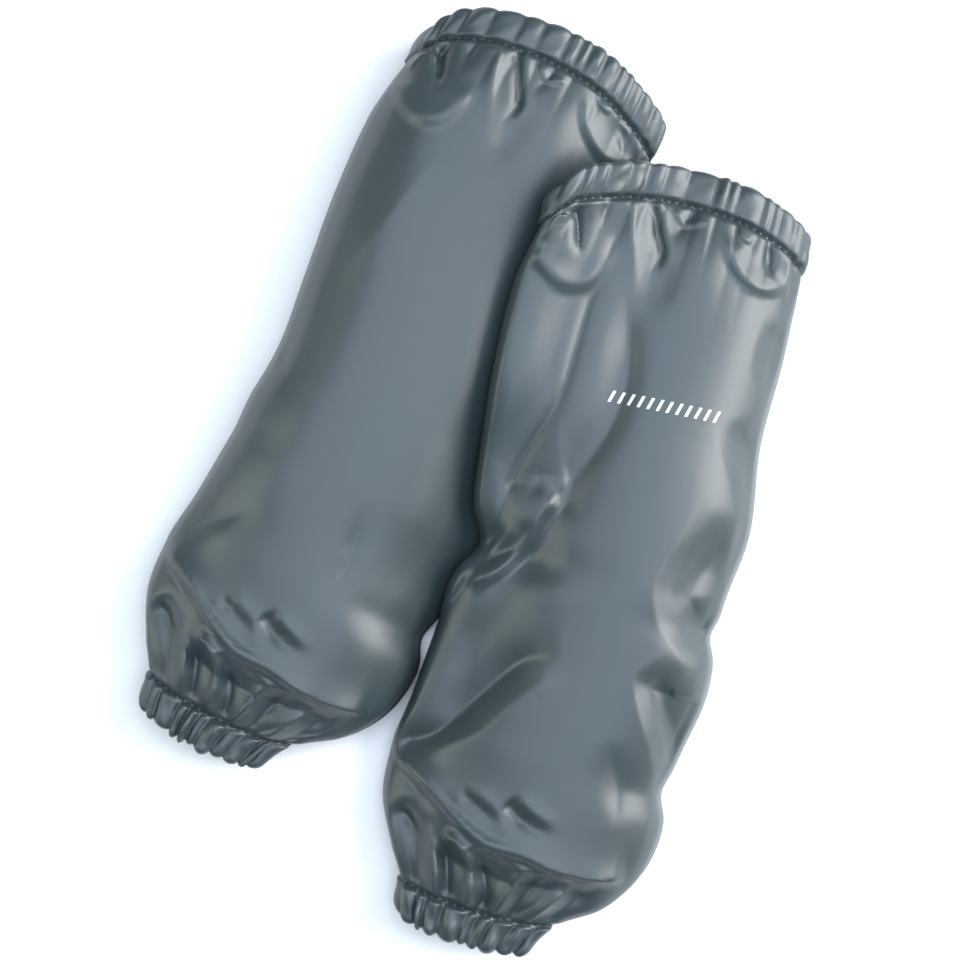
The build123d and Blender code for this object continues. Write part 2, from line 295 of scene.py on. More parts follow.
# line, height, half widths on its right and left hand, shares over which its ends rise and die
RIDGES = {
    "both": [
        # folds that fall from the wide hem
        ([(-58, 199), (-54, 186), (-50, 170)], -6.5, 2.6, 3.4, (.0, .5)),
        ([(-66, 198), (-70, 186), (-66, 172)], 4.0, 4.0, 5.0, (.1, .6)),
        ([(-31, 212), (-25, 190), (-12, 157)], 4.6, 7.0, 3.6, (.0, .7)),
        ([(-19, 209), (-12, 196), (-6, 184), (-11, 171)], -4.6, 3.0, 2.6, (.0, .5)),
        ([(-15, 209), (-8, 195), (-2, 183), (-7, 168)], 3.2, 2.4, 3.6, (.0, .6)),
        ([(4, 212), (2, 202), (-2, 190)], -3.8, 3.2, 3.6, (.0, .7)),
        ([(-44, 212), (-43, 200), (-40, 186)], -2.8, 2.6, 2.8, (.0, .7)),
        ([(50, 213), (53, 199), (57, 188)], -4.0, 2.6, 2.8, (.0, .6)),
        ([(62, 210), (66, 194), (66, 176)], 3.8, 4.0, 4.0, (.0, .5)),
        ([(72, 204), (72, 192), (68, 180)], -3.4, 2.6, 2.6, (.0, .5)),
        # the crease over the cuff and the small dents above it
        ([(-77, -121), (-46, -137), (-14, -154), (14, -157), (44, -160), (73, -155)],
         6.4, 3.2, 9.0, (.02, .06)),
        ([(-31, -166), (-12, -159), (15, -164), (44, -163)], 2.6, 2.6, 3.4, (.3, .3)),
        ([(-52, -130), (-31, -142), (-10, -150), (12, -151)], -2.8, 3.0, 3.6, (.3, .4)),
        ([(-5, -131), (7, -139), (29, -143)], -4.4, 3.2, 5.0, (.1, .6)),
        ([(-2, -125), (12, -132), (32, -137)], 2.6, 3.0, 4.6, (.3, .5)),
        ([(-31, -133), (-16, -140), (-1, -147)], -2.8, 3.0, 4.4, (.2, .5)),
        ([(-30, -127), (-14, -134), (0, -141)], 1.8, 3.0, 4.4, (.3, .5)),
        ([(-70, -128), (-52, -140), (-34, -148)], -2.4, 3.0, 3.0, (.3, .4)),
        ([(-66, -150), (-34, -170), (10, -175), (58, -168)], -5.0, 9.0, 9.0, (.1, .1)),
        # pleats from that crease into the cuff
        ([(-62, -146), (-48, -168), (-38, -192)], -5.4, 6.0, 5.0, (.3, .0)),
        ([(-44, -154), (-33, -176), (-28, -196)], 7.6, 7.0, 3.6, (.4, .0)),
        ([(-34, -160), (-25, -180), (-20, -196)], -6.4, 3.4, 4.0, (.4, .0)),
        ([(-34, -158), (-24, -160), (-14, -172), (-8, -196)], 7.4, 3.4, 3.4, (.2, .0)),
        ([(-14, -164), (-3, -180), (0, -196)], -6.4, 4.0, 4.0, (.4, .0)),
        ([(16, -160), (10, -180), (6, -196)], 7.6, 4.4, 6.0, (.3, .0)),
        ([(28, -164), (20, -182), (15, -196)], -6.4, 4.4, 4.4, (.4, .0)),
        ([(44, -165), (33, -182), (25, -196)], 6.4, 5.4, 5.0, (.3, .0)),
        ([(62, -160), (46, -178), (34, -194)], -4.4, 6.0, 6.0, (.4, .0)),
    ],
    "rear": [
        # from the notch in the left edge, and a soft valley towards the cuff
        ([(-80, -120), (-62, -108), (-44, -88), (-28, -66)], -2.6, 8.0, 12.0, (.0, .5)),
        ([(18, -46), (22, -72), (24, -90), (18, -112)], -2.6, 7.0, 10.0, (.4, .4)),
        ([(-30, 150), (-42, 100), (-54, 40)], 1.4, 14.0, 16.0, (.3, .4)),
        ([(-70, 20), (-62, 4), (-52, -8)], -2.0, 4.0, 5.0, (.1, .5)),
    ],
    "front": [
        # from the notch in the left edge across to the middle
        ([(-80, -120), (-53, -106), (-35, -78), (-17, -52), (4, -45)], -8.0, 8.0, 12.0, (.0, .4)),
        ([(-60, -122), (-30, -98), (-8, -66), (14, -58)], 2.6, 9.0, 8.0, (.2, .5)),
        ([(-22, 168), (-12, 142), (-5, 114), (-7, 85), (-18, 54), (-29, 34)], -4.4, 12.0, 7.0, (.3, .1)),
        # the knot where the raised left side leaves the rear gaiter
        ([(-40, 92), (-27, 58), (-24, 46), (-31, 28), (-35, 10), (-46, -9), (-62, -22)],
         4.6, 12.0, 4.4, (.4, .1)),
        ([(-21, 62), (-17, 44), (-25, 24), (-30, 4), (-42, -14), (-58, -30)], -3.0, 5.0, 9.0, (.3, .2)),
        ([(-58, 36), (-44, 44), (-31, 40)], -2.2, 8.0, 6.0, (.4, .3)),
        ([(-34, 26), (-40, 9), (-56, -10)], -2.6, 4.0, 3.6, (.35, .2)),
        ([(-42, 22), (-47, 8), (-60, -6)], 2.4, 4.4, 4.0, (.35, .2)),
        ([(-50, 20), (-54, 8), (-62, 0)], -1.8, 4.0, 4.0, (.4, .2)),
        ([(40, -80), (52, -104), (58, -130)], -2.4, 8.0, 8.0, (.4, .4)),
    ],
}

# line, rise of its left hand, how far that runs on, width of the rise, shares at its ends
STEPS = {
    "both": [
        ([(-79, 180), (-73, 164), (-57, 153), (-41, 157), (-33, 171), (-31, 188)], 3.6, 15.0, 8.0, (.2, .2)),
        ([(23, 204), (31, 189), (47, 180), (60, 182), (66, 192)], 3.4, 12.0, 6.0, (.2, .2)),
        ([(28, 214), (33, 203), (40, 202), (43, 214)], 2.6, 6.0, 2.6, (.1, .1)),
        ([(-8, 207), (2, 200), (14, 204)], 2.2, 6.0, 2.6, (.2, .2)),
    ],
    "rear": [],
    "front": [],
}

# crest, fall of the panel on its left hand, its width, how far the fall runs on, shares at its ends
FACETS = {
    "both": [],
    "rear": [
        ([(70, -84), (76, -106), (82, -128)], 4.0, 8.0, 20.0, (.3, .2)),
    ],
    "front": [
        ([(62, -20), (49, -37), (45, -47), (52, -62), (66, -84), (75, -108), (77, -132)],
         8.0, 16.0, 30.0, (.25, .12)),
        ([(60, 172), (58, 152), (62, 134), (78, 122)], 4.6, 16.0, 14.0, (.2, .25)),
        ([(46, 104), (56, 88), (66, 74), (82, 44)], 4.4, 16.0, 16.0, (.35, .1)),
        ([(76, 58), (78, 36), (80, 14)], 5.0, 8.0, 14.0, (.2, .2)),
        ([(51, 64), (48, 40), (42, 18), (41, 3), (50, -13), (76, -36)], 7.0, 22.0, 18.0, (.3, .12)),
    ],
}

# centre, radii, turn in degrees, height
SWELLS = {
    "both": [
        ((16, 184), (15, 18), 0, 3.0), ((-2, 168), (9, 14), 0, -2.2), ((-58, 180), (12, 12), 0, 2.0),
        ((48, 196), (9, 7), -20, -1.4), ((-48, -100), (14, 10), 40, 1.4),
    ],
    "rear": [((-56, 150), (14, 30), 10, 1.2)],
    "front": [((22, 50), (24, 60), 6, 2.0), ((-52, 112), (14, 40), 0, -1.4)],
}


def folds_on(side, x, y):
    """Sum of the listed folds on the upper side."""
    total = np.zeros(x.shape)
    for make, table in ((ridge, RIDGES), (step, STEPS), (facet, FACETS), (swell, SWELLS)):
        for row in table["both"] + table[side]:
            total += make(x, y, *row)
    return total


# ---------------------------------------------------------------- gathers of the elastic hems
def gather_row(seed, girth, low, high):
    """Edges of the pleats round a hem: uneven widths between low and high millimetres."""
    rng = np.random.default_rng(seed)
    widths = rng.uniform(low, high, int(girth / low) + 4)
    edges = np.concatenate([[0.0], np.cumsum(widths)])
    count = int(np.searchsorted(edges, girth))
    return edges[:count + 1] / edges[count], rng.uniform(0.45, 1.0, count), rng.uniform(-0.35, 0.35, count)


def gathers(row, around):
    """Height of the pleats (0 to 1) round a hem: round backs with narrow valleys between them."""
    edges, heights, skews = row
    place = np.mod(around, 1.0)
    k = np.clip(np.searchsorted(edges, place, side="right") - 1, 0, len(heights) - 1)
    t = (place - edges[k]) / (edges[k + 1] - edges[k])
    t = np.clip(t + skews[k] * t * (1 - t), 0, 1)
    return heights[k] * np.sin(np.pi * t) ** 0.6


def hem_share(station, rim, sew):
    """0 at the stitching, 1 at the rim, below 0 on the body side."""
    return (station - sew) / (rim - sew)


def hems_of(rows):
    """Rim, stitching, pleats and sizes of both hems, in mm: how far the pleats of the band and of
    the skirt stand out, how far the skirt's run on, how full the band is, how uneven the rim is."""
    return ((TOP_RIM, TOP_SEW, rows["top"], 2.9, 2.6, 17.0, 1.2, 1.8),
            (CUFF_RIM, CUFF_SEW, rows["cuff"], 5.4, 3.0, 16.0, 0.8, 3.8))


def gather_height(station, around, rows):
    """How far the cloth stands out of its resting shape because of the two elastics, and how far
    the rims run in and out along the tube."""
    out = np.zeros(np.broadcast(station, around).shape)
    along = np.zeros(out.shape)
    for rim, sew, (band_row, skirt_row), band, skirt, reach, puff, scallop in hems_of(rows):
        depth = abs(rim - sew)
        share = hem_share(station, rim, sew)
        pleat = gathers(band_row, around)
        on_band = smooth(share / 0.12) * (1 - 0.35 * smooth((share - 0.8) / 0.2))
        below = np.maximum(-share, 0) * depth
        skirt_fade = np.exp(-(below / reach) ** 1.3) * smooth(below / 2.5)
        knots = 1 + 0.45 * np.sin(2 * np.pi * (around * 9 + 0.9 * share)) * np.sin(np.pi * share)
        ear = 1 + 1.1 * np.exp(-((np.mod(around, 1.0) - 0.49) / 0.03) ** 2) * (rim > 0)
        out += on_band * band * (pleat - 0.35) * knots * ear
        out += puff * np.sin(np.pi * np.clip(share, 0, 1)) ** 0.8
        out += (share < 0) * skirt * skirt_fade * (gathers(skirt_row, around) - 0.3)
        out -= 1.7 * np.exp(-(share * depth / 1.5) ** 2)
        along += math.copysign(scallop, rim) * (pleat - 0.6) * smooth((share - 0.2) / 0.8)
    return out, along


def run_of_rims(station, u, ground):
    """How much further out along the tube a rim stands than its plain plane, in mm: both rims are
    arched, lean to the right, and don't follow the rise of what the gaiter lies on."""
    top, cuff = smooth((station - 140) / 60), smooth((-160 - station) / 40)
    arch = 6.0 - 12.0 * u ** 2 + 4.0 * u - 7.0 * smooth((-0.8 - u) / 0.2)
    out = top * arch - cuff * (1.0 - 2.0 * u ** 2 + 0.5 * u)
    return out - lean(station) * ground


def hem_rows(side):
    """The pleats of one gaiter's hems, on the band and in the skirt below the stitching."""
    seed = 11 if side == "front" else 29
    return {
        "top": (gather_row(seed, 330, 5.0, 17.0), gather_row(seed + 1, 330, 8.0, 22.0)),
        "cuff": (gather_row(seed + 2, 200, 5.5, 15.0), gather_row(seed + 3, 200, 10.0, 22.0)),
    }


# ---------------------------------------------------------------- the cloth as a grid
def ring_places(upper, lower):
    """Places round the tube from the right edge over the crown and back underneath: across the
    width, whether on the upper side, and the share of the way round."""
    def spread(count):
        """Places from the right edge to the left, closer together at both edges."""
        t = np.linspace(0, 1, count, endpoint=False)
        even, bunched = 1 - 2 * t, np.cos(np.pi * t)
        return 0.72 * even + 0.28 * bunched
    u = np.concatenate([spread(upper), -spread(lower)])
    over = np.concatenate([np.ones(upper), np.zeros(lower)])
    around = np.concatenate([np.linspace(0, 0.5, upper, endpoint=False),
                             np.linspace(0.5, 1.0, lower, endpoint=False)])
    return u, over, around


def drawn_in(notches, station):
    """How far an edge is drawn in at a station."""
    return sum((deep * np.exp(-((station - at) / half) ** 2) for at, half, deep in notches),
               np.zeros(station.shape))


def edges_of(side, station):
    """Left and right edge of the tube at a station, with their notches."""
    left, right = through(STATIONS, station)[:2]
    flank = FLANK_IN * smooth((-20 - station) / 30) * smooth((station + 150) / 30)
    aside = CUFF_ASIDE * smooth((-165 - station) / 35)
    return (left + drawn_in(LEFT_NOTCHES[side], station) + flank - aside,
            right - drawn_in(RIGHT_NOTCHES[side], station) - aside)


def section(side, station, u, over, x):
    """Height of the cloth over what the tube lies on, with the listed folds on its upper side: they fade at
    the edges and hems, and stop short of the lower side."""
    crown, roundness = through(STATIONS, station)[2:]
    high = flatter(side, u, upper_height(side, station, u), crown)
    low = lower_height(station, u)
    edge = (1 - roundness) * EDGE_RISE * crown + roundness * 0.5 * crown
    turn_in = np.sqrt(np.maximum(1 - np.clip((np.abs(u) - 1 + EDGE_TURN) / EDGE_TURN, 0, 1) ** 2, 0))
    high = edge + (high - edge) * turn_in
    low = edge - (edge - low) * turn_in
    settle = smooth((1 - np.abs(u)) / 0.12) * over * (1 - 0.5 * roundness)
    free = smooth((TOP_SEW + 2 - station) / 8) * smooth((station - CUFF_SEW + 2) / 8)
    folds = folds_on(side, x, station + lean(station) * high) * settle * free
    least = low + LEAST_GAP[0] * (high - low) + LEAST_GAP[1]
    shaped = high + folds
    shaped = np.where(shaped < least, least - 0.12 * (least - shaped), shaped)
    return np.where(over > 0, np.maximum(shaped, low), low)


def wall(side, station, u, over, around, offset=0.0):
    """Points of the cloth, in the gaiter's own millimetres. The arguments broadcast: stations down
    the rows and places round the tube along the columns; offset moves the cloth outwards."""
    station, u, over, around, offset = np.broadcast_arrays(
        *(np.asarray(v, float) for v in (station, u, over, around, offset)))
    left, right = edges_of(side, station)
    x = (left + right) / 2 + (right - left) / 2 * u
    ground = support(x, station) if side == "front" else np.zeros(x.shape)
    z = ground + section(side, station, u, over, x)
    points = np.stack([x, station + lean(station) * z, z], axis=-1)

    ahead = np.roll(points, -1, axis=-2) - np.roll(points, 1, axis=-2)
    outward = np.stack([ahead[..., 2], np.zeros(x.shape), -ahead[..., 0]], axis=-1)
    outward /= np.maximum(np.linalg.norm(outward, axis=-1, keepdims=True), 1e-9)
    stands_out, along = gather_height(station, around, hem_rows(side))
    points = points + outward * (stands_out + offset)[..., None]
    points[..., 1] += along + run_of_rims(station, u, ground)
    points[..., 2] = np.maximum(points[..., 2], OFF_FLOOR + np.maximum(-offset, 0))
    return points


def grid_object(name, points, closed, uv_size):
    """A sheet made from rows of points: a flat grid of cloth is added, its corners are moved to
    their places, and the side seam is closed by merging."""
    rows, columns = points.shape[:2]
    if closed:
        points = np.concatenate([points, points[:, :1]], axis=1)
        columns += 1
    bpy.ops.object.select_all(action="DESELECT")
    bpy.ops.mesh.primitive_grid_add(x_subdivisions=columns - 1, y_subdivisions=rows - 1,
                                    size=1.0, location=(0, 0, 0))
    piece = bpy.context.object
    piece.name = piece.data.name = name
    piece.data.vertices.foreach_set("co", points.reshape(-1))
    uv = piece.data.uv_layers[0]
    flat = np.empty(len(uv.data) * 2)
    uv.data.foreach_get("uv", flat)
    flat = flat.reshape(-1, 2) * uv_size
    uv.data.foreach_set("uv", flat.reshape(-1))
    bpy.ops.object.mode_set(mode="EDIT")
    bpy.ops.mesh.select_all(action="SELECT")
    bpy.ops.mesh.remove_doubles(threshold=1e-6)
    bpy.ops.mesh.flip_normals()
    bpy.ops.object.mode_set(mode="OBJECT")
    bpy.ops.object.shade_smooth()
    return piece


def thicken(piece, thickness, backing=False):
    """Gives a sheet its thickness, inwards, with the backing's material on its inner side."""
    solid = piece.modifiers.new("thickness", "SOLIDIFY")
    solid.thickness = thickness
    solid.offset = -1.0
    solid.use_even_offset = False
    solid.material_offset = 1 if backing else 0
    solid.material_offset_rim = 0
    bpy.context.view_layer.objects.active = piece
    bpy.ops.object.modifier_apply(modifier="thickness")


# ---------------------------------------------------------------- materials
def linear(hex_colour):
    """sRGB hex to a linear colour."""
    parts = [int(hex_colour[i:i + 2], 16) / 255 for i in (1, 3, 5)]
    return [p / 12.92 if p <= 0.04045 else ((p + 0.055) / 1.055) ** 2.4 for p in parts] + [1.0]


def add(tree, kind, links=(), **settings):
    """Adds a node: settings are its properties or inputs, links pairs of (input, source socket)."""
    node = tree.nodes.new(kind)
    for key, value in settings.items():
        if hasattr(node, key):
            setattr(node, key, value)
        else:
            node.inputs[key.replace("_", " ")].default_value = value
    for key, source in links:
        tree.links.new(source, node.inputs[key])
    return node


def new_material(name):
    """An empty material with its shader, ready for nodes."""
    material = bpy.data.materials.new(name)
    material.use_nodes = True
    tree = material.node_tree
    return material, tree, tree.nodes["Principled BSDF"]


def tinted(tree, shader, factor, stuff):
    """Colours a shader between the two tints that the settings give for its stuff."""
    colours = bpy.context.scene.gaiter_colours
    tint = add(tree, "ShaderNodeMix", [("Factor", factor)], data_type="RGBA")
    tint.inputs[6].default_value = getattr(colours, stuff + "_low")
    tint.inputs[7].default_value = getattr(colours, stuff + "_high")
    tree.links.new(tint.outputs[2], shader.inputs["Base Color"])


def bands(pitch):
    """Scale of a wave pattern whose bands are pitch millimetres apart."""
    return 2 * math.pi / (20 * pitch * MM)


def spots(size):
    """Scale of a noise pattern whose spots are about size millimetres across."""
    return 1 / (size * MM)


def coated_cloth():
    """PVC-coated polyester cloth, calendered: a soft satin gloss over a dark green-grey, with the
    base cloth's weave faintly printed through the coating. The weave is about 0.4 mm in such cloth
    and is drawn nearly twice as coarse, so that it shows."""
    material, tree, shader = new_material("pvc_coated_cloth_satin")
    uv = add(tree, "ShaderNodeUVMap")
    weave = add(tree, "ShaderNodeTexWave", [("Vector", uv.outputs[0])], Scale=bands(0.748), Distortion=1.5)
    cross = add(tree, "ShaderNodeTexNoise", [("Vector", uv.outputs[0])], Scale=spots(1.111), Detail=2.0)
    cloud = add(tree, "ShaderNodeTexNoise", [("Vector", uv.outputs[0])], Scale=spots(71.43), Detail=3.0)
    tinted(tree, shader, cloud.outputs["Fac"], "cloth")
    gloss = add(tree, "ShaderNodeMapRange", [("Value", cloud.outputs["Fac"])], To_Min=0.35, To_Max=0.42)
    tree.links.new(gloss.outputs["Result"], shader.inputs["Roughness"])
    ripple = add(tree, "ShaderNodeTexNoise", [("Vector", uv.outputs[0])], Scale=spots(16.667), Detail=4.0)
    grain = add(tree, "ShaderNodeBump", [("Height", weave.outputs["Fac"])], Strength=0.05, Distance=0.0002)
    fine = add(tree, "ShaderNodeBump", [("Height", cross.outputs["Fac"]), ("Normal", grain.outputs[0])],
               Strength=0.08, Distance=0.0003)
    soft = add(tree, "ShaderNodeBump", [("Height", ripple.outputs["Fac"]), ("Normal", fine.outputs[0])],
               Strength=0.12, Distance=0.0012)
    tree.links.new(soft.outputs[0], shader.inputs["Normal"])
    shader.inputs["IOR"].default_value = 1.5
    shader.inputs["Specular IOR Level"].default_value = 0.7
    return material


def cloth_backing():
    """Bare woven polyester side of the coated cloth: matt and lighter, with a plain weave, drawn coarser
    than its 0.4 mm threads, so that it shows. Painted shade darkens the colour in the hollows of the weave,
    where its bump is low."""
    material, tree, shader = new_material("woven_polyester_backing")
    uv = add(tree, "ShaderNodeUVMap")
    warp, weft = (add(tree, "ShaderNodeTexWave", [("Vector", uv.outputs[0])], Scale=bands(0.6283),
                      bands_direction=way) for way in "XY")
    both = add(tree, "ShaderNodeMath", [(0, warp.outputs["Fac"]), (1, weft.outputs["Fac"])],
               operation="MULTIPLY")
    # painted shade: the weave's low places, which the bump makes hollows, get the darker tint
    tinted(tree, shader, both.outputs[0], "backing")
    bump = add(tree, "ShaderNodeBump", [("Height", both.outputs[0])], Strength=0.3, Distance=0.0003)
    tree.links.new(bump.outputs[0], shader.inputs["Normal"])
    shader.inputs["Roughness"].default_value = 0.7
    return material


def thread_material():
    """Twisted polyester thread, near black: a dull thread whose twist is made visible by painted shade,
    darker in its hollows and lighter on its backs.
    """
    material, tree, shader = new_material("twisted_polyester_thread")
    place = add(tree, "ShaderNodeTexCoord")
    twist = add(tree, "ShaderNodeTexWave", [("Vector", place.outputs["Object"])], Scale=bands(0.349),
                bands_direction="DIAGONAL")
    # painted shade: the twist's hollows get the darker tint, its backs the lighter
    tinted(tree, shader, twist.outputs["Fac"], "thread")
    shader.inputs["Roughness"].default_value = 0.6
    return material


def elastic_material():
    """Flat knitted elastic: off-white rubber cords under a ribbed polyester knit. Painted shade darkens the
    colour in the hollows between the ribs, where the bump is low.
    """
    material, tree, shader = new_material("knitted_elastic")
    uv = add(tree, "ShaderNodeUVMap")
    ribs = add(tree, "ShaderNodeTexWave", [("Vector", uv.outputs[0])], Scale=bands(1.0472),
               bands_direction="Y")
    # painted shade: the hollows between the ribs get the darker tint, the backs of the ribs the lighter
    tinted(tree, shader, ribs.outputs["Fac"], "elastic")
    bump = add(tree, "ShaderNodeBump", [("Height", ribs.outputs["Fac"])], Strength=0.5, Distance=0.0004)
    tree.links.new(bump.outputs[0], shader.inputs["Normal"])
    shader.inputs["Roughness"].default_value = 0.8
    return material


def tape_material():
    """Heat-bonded seam tape: a thin grey film, smoother and a little lighter than the backing."""
    material, tree, shader = new_material("heat_bonded_seam_tape")
    uv = add(tree, "ShaderNodeUVMap")
    cloud = add(tree, "ShaderNodeTexNoise", [("Vector", uv.outputs[0])], Scale=spots(5.0))
    tinted(tree, shader, cloud.outputs["Fac"], "tape")
    shader.inputs["Roughness"].default_value = 0.45
    return material


def ink_material():
    """Screen-printed ink: opaque off-white, a little thinner where the weave stands proud."""
    material, tree, shader = new_material("screen_printed_ink")
    place = add(tree, "ShaderNodeTexCoord")
    speck = add(tree, "ShaderNodeTexNoise", [("Vector", place.outputs["Object"])],
                Scale=spots(0.5556), Detail=2.0)
    tinted(tree, shader, speck.outputs["Fac"], "ink")
    shader.inputs["Roughness"].default_value = 0.5
    return material


MAKERS = {
    "cloth": coated_cloth, "backing": cloth_backing, "thread": thread_material,
    "elastic": elastic_material, "tape": tape_material, "ink": ink_material,
}
MADE = {}


def material(name):
    """The material of that name, made once."""
    if name not in MADE:
        MADE[name] = MAKERS[name]()
    return MADE[name]


def dress(piece, *names):
    """Gives a piece its materials."""
    piece.data.materials.clear()
    for name in names:
        piece.data.materials.append(material(name))


def hang(piece, side, node, cuff=False):
    """Lets a piece ride on its gaiter or its cuff, and stand for its CAD node."""
    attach(piece, side + ("_cuff" if cuff else "_gaiter"))
    if node:
        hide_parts(node)


# ---------------------------------------------------------------- settings
class GaiterCloth(bpy.types.PropertyGroup):
    """Sizes of the cut cloth, and how finely it is made"""
    rows: IntProperty(name="Rows", description="Rows of cloth along the tube", default=276, min=40)
    upper: IntProperty(name="Upper columns", description="Columns over the upper side", default=118, min=24)
    lower: IntProperty(name="Lower columns", description="Columns under the tube", default=42, min=12)
    thickness: FloatProperty(name="Cloth", description="Thickness of the coated cloth",
                             default=0.7 * MM, unit="LENGTH", precision=5)
    panel_width: FloatProperty(name="Panel width", description="Girth of the cut panel",
                               default=0.372, unit="LENGTH")
    cuff_width: FloatProperty(name="Cuff width", description="Girth of the cut panel at the cuff's end",
                              default=0.24, unit="LENGTH")
    panel_length: FloatProperty(name="Panel length", description="Length of the cut panel between the rims",
                                default=0.445, unit="LENGTH")


class GaiterHems(bpy.types.PropertyGroup):
    """Sizes of what is sewn into the hems"""
    facing: FloatProperty(name="Facing", description="Depth of the cloth turned in at a hem",
                          default=24.0 * MM, unit="LENGTH", precision=5)
    elastic: FloatProperty(name="Elastic", description="Thickness of the flat elastic",
                           default=1.0 * MM, unit="LENGTH", precision=5)
    pitch: FloatProperty(name="Stitch pitch", description="From one stitch to the next",
                         default=4.6 * MM, unit="LENGTH", precision=5)
    stitch: FloatProperty(name="Stitch", description="Length of one stitch",
                          default=3.5 * MM, unit="LENGTH", precision=5)
    thread: FloatProperty(name="Thread", description="Diameter of the thread",
                          default=1.0 * MM, unit="LENGTH", precision=5)


def colour(label, hex_colour, words):
    """A colour setting with its default."""
    return FloatVectorProperty(name=label, description=words, size=4, subtype="COLOR", min=0.0, max=1.0,
                               default=tuple(linear(hex_colour)))


class GaiterColours(bpy.types.PropertyGroup):
    """The two tints of each material"""
    cloth_low: colour("Cloth, darker", "#2e393c", "Darker tint of the coated cloth")
    cloth_high: colour("Cloth, lighter", "#354246", "Lighter tint of the coated cloth")
    # painted shade: the backing's darker tint lies in the hollows of its weave, the lighter on its threads
    backing_low: colour("Backing, darker", "#5c6664", "Hollows of the woven backing")
    backing_high: colour("Backing, lighter", "#828d8a", "Threads of the woven backing")
    # painted shade: the thread's darker tint lies in the hollows of its twist, the lighter on its backs
    thread_low: colour("Thread, darker", "#0d1214", "Hollows of the sewing thread's twist")
    thread_high: colour("Thread, lighter", "#232b2e", "Backs of the sewing thread's twist")
    # painted shade: the elastic's darker tint lies in the hollows between its ribs, the lighter on their
    # backs
    elastic_low: colour("Elastic, darker", "#9a9a94", "Hollows between the elastic's ribs")
    elastic_high: colour("Elastic, lighter", "#d6d5cf", "Backs of the elastic's ribs")
    tape_low: colour("Tape, darker", "#525b5d", "Darker tint of the seam tape")
    tape_high: colour("Tape, lighter", "#6a7375", "Lighter tint of the seam tape")
    ink_low: colour("Ink, darker", "#dfe4e6", "Thin places of the printed ink")
    ink_high: colour("Ink, lighter", "#ffffff", "Full places of the printed ink")


# ---------------------------------------------------------------- pieces
def roll_over(rim, away, steps=6):
    """Stations and offsets of the cloth where it rolls over a rim and turns in."""
    turn = np.linspace(0, math.radians(125), steps + 1)[1:]
    return rim - away * ROLL + away * ROLL * np.sin(turn), -ROLL + ROLL * np.cos(turn)


def cloth_rows(count):
    """Stations and offsets of the cloth from cuff to wide mouth, closer together in the gathers,
    with both rims rolled over."""
    dense = int(count * 0.22)
    cuff = np.linspace(CUFF_RIM + ROLL, -150, dense, endpoint=False)
    middle = np.linspace(-150, 165, count - 2 * dense, endpoint=False)
    flat = np.concatenate([cuff, middle, np.linspace(165, TOP_RIM - ROLL, dense)])
    low, low_offset = roll_over(CUFF_RIM, -1)
    high, high_offset = roll_over(TOP_RIM, 1)
    return (np.concatenate([low[::-1], flat, high]),
            np.concatenate([low_offset[::-1], np.zeros(len(flat)), high_offset]))


class OBJECT_OT_gaiter_shells(bpy.types.Operator):
    """Make both cloth tubes"""
    bl_idname = "gaiters.shells"
    bl_label = "Shells"

    def execute(self, context):
        cloth = context.scene.gaiter_cloth
        u, over, around = ring_places(cloth.upper, cloth.lower)
        stations, offsets = (row[:, None] for row in cloth_rows(cloth.rows))
        for side in SIDES:
            points = to_frame(side, wall(side, stations, u, over, around, offsets))
            piece = grid_object(side + "_shell_cloth", points, True,
                                (cloth.panel_width, cloth.panel_length))
            dress(piece, "cloth", "backing")
            thicken(piece, cloth.thickness, backing=True)
            slot_and_blend(piece, side)
        return {"FINISHED"}


def slot_and_blend(piece, side):
    """Hides the CAD shell that the tube stands for, and bakes the tube's place into its mesh."""
    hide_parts(side + "_shell")
    start, end = (to_frame(side, np.array([0.0, BEND_AT + part, 0.0])) for part in BLEND)
    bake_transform(piece)


def hem_parts():
    """Name, rim, stitching and whether it rides on the cuff, of both hems."""
    return (("top", TOP_RIM, TOP_SEW, False), ("cuff", CUFF_RIM, CUFF_SEW, True))


def hem_stations(rim, sew, from_sew, from_rim, count):
    """Rows of a piece inside a hem, from the cuff's end to the wide mouth's: it starts from_sew
    past the stitching towards the rim and stops from_rim short of the rim."""
    away = math.copysign(1, rim - sew)
    stations = np.linspace(sew + away * from_sew, rim - away * from_rim, count)[:, None]
    return stations if away > 0 else stations[::-1]


def place_across(x, station):
    """Place across the tube (-1 to 1) of a distance from the gaiter's middle line."""
    left, right = through(STATIONS, station)[:2]
    return (x - (left + right) / 2) / ((right - left) / 2)


class OBJECT_OT_gaiter_facings(bpy.types.Operator):
    """Make the turned-in cloth inside the hems"""
    bl_idname = "gaiters.facings"
    bl_label = "Facings"

    def execute(self, context):
        cloth = context.scene.gaiter_cloth
        hems = context.scene.gaiter_hems
        u, over, around = ring_places(cloth.upper, cloth.lower)
        for side in SIDES:
            for name, rim, sew, cuff in hem_parts():
                stations = hem_stations(rim, sew, -3.0, 2.2, 20)
                points = to_frame(side, wall(side, stations, u, over, around, FACING_AT))
                piece = grid_object(side + "_" + name + "_facing", points, True,
                                    (cloth.panel_width, hems.facing))
                dress(piece, "cloth", "backing")
                thicken(piece, cloth.thickness, backing=True)
                hang(piece, side, side + "_" + name + "_casing", cuff)
        return {"FINISHED"}


